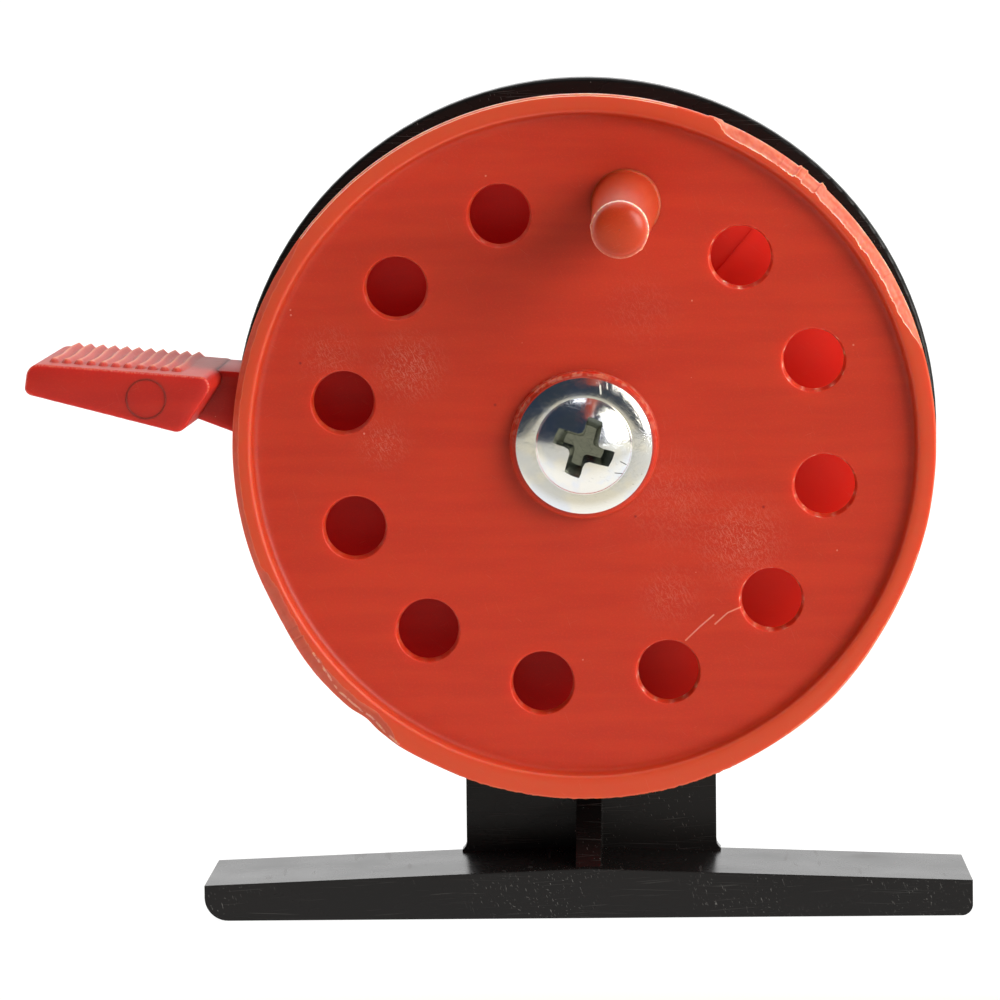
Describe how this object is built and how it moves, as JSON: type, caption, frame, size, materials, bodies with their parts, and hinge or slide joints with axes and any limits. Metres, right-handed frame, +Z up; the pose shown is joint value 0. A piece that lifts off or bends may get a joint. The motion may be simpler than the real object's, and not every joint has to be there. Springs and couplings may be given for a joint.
{
  "type": "ice fishing reel",
  "caption": "Small plastic single-action ice-fishing reel: a drilled spool with a peg handle turns on a screw in front of a plate with a flat foot; a ridged thumb lever brakes it.",
  "frame": {"origin": "centre of the foot's underside, straight below the spool's axle", "axes": "+X along the foot, +Y from the spool face towards the back plate, +Z up from the foot to the axle"},
  "size_m": [0.0669, 0.0378, 0.0594],
  "materials": {
    "black_plastic": "moulded semi-gloss black plastic with fine scratches",
    "red_plastic": "moulded semi-gloss orange-red plastic, scuffed at the rim",
    "red_plastic_dark": "moulded semi-gloss red plastic",
    "lever_plastic": "moulded satin red plastic",
    "zinc_steel": "bright zinc plate with fine scratches",
    "bright_steel": "turned bright steel",
    "spring_wire": "drawn music wire",
    "natural_nylon": "natural nylon",
    "shoe_rubber": "matte moulded rubber"
  },
  "bodies": {
    "reel_frame": {"frame": "black_plastic", "axle_screw": "zinc_steel", "axle_sleeve": "bright_steel", "thrust_washer": "natural_nylon", "axle_nut": "zinc_steel", "lever_pivot_pin": "bright_steel", "pivot_retainer": "bright_steel", "lever_spring": "spring_wire"},
    "spool": {"spool_front": "red_plastic", "spool_rear": "red_plastic_dark", "handle_knob": "red_plastic"},
    "thumb_lever": {"lever": "lever_plastic", "brake_shoe": "shoe_rubber"}
  },
  "joints": [
    {"name": "spool_spin", "type": "hinge", "parent": "reel_frame", "child": "spool", "pos_m": [0, 0, 0.0341], "axis": [0, -1, 0], "continuous": true},
    {"name": "lever_press", "type": "hinge", "parent": "reel_frame", "child": "thumb_lever", "pos_m": [-0.0186, 0, 0.0375], "axis": [0, -1, 0], "range_deg": [0, 4.5], "stiffness_Nm_per_rad": 0.03, "springref_deg": -14.32, "deforming": ["lever_spring"]}
  ]
}
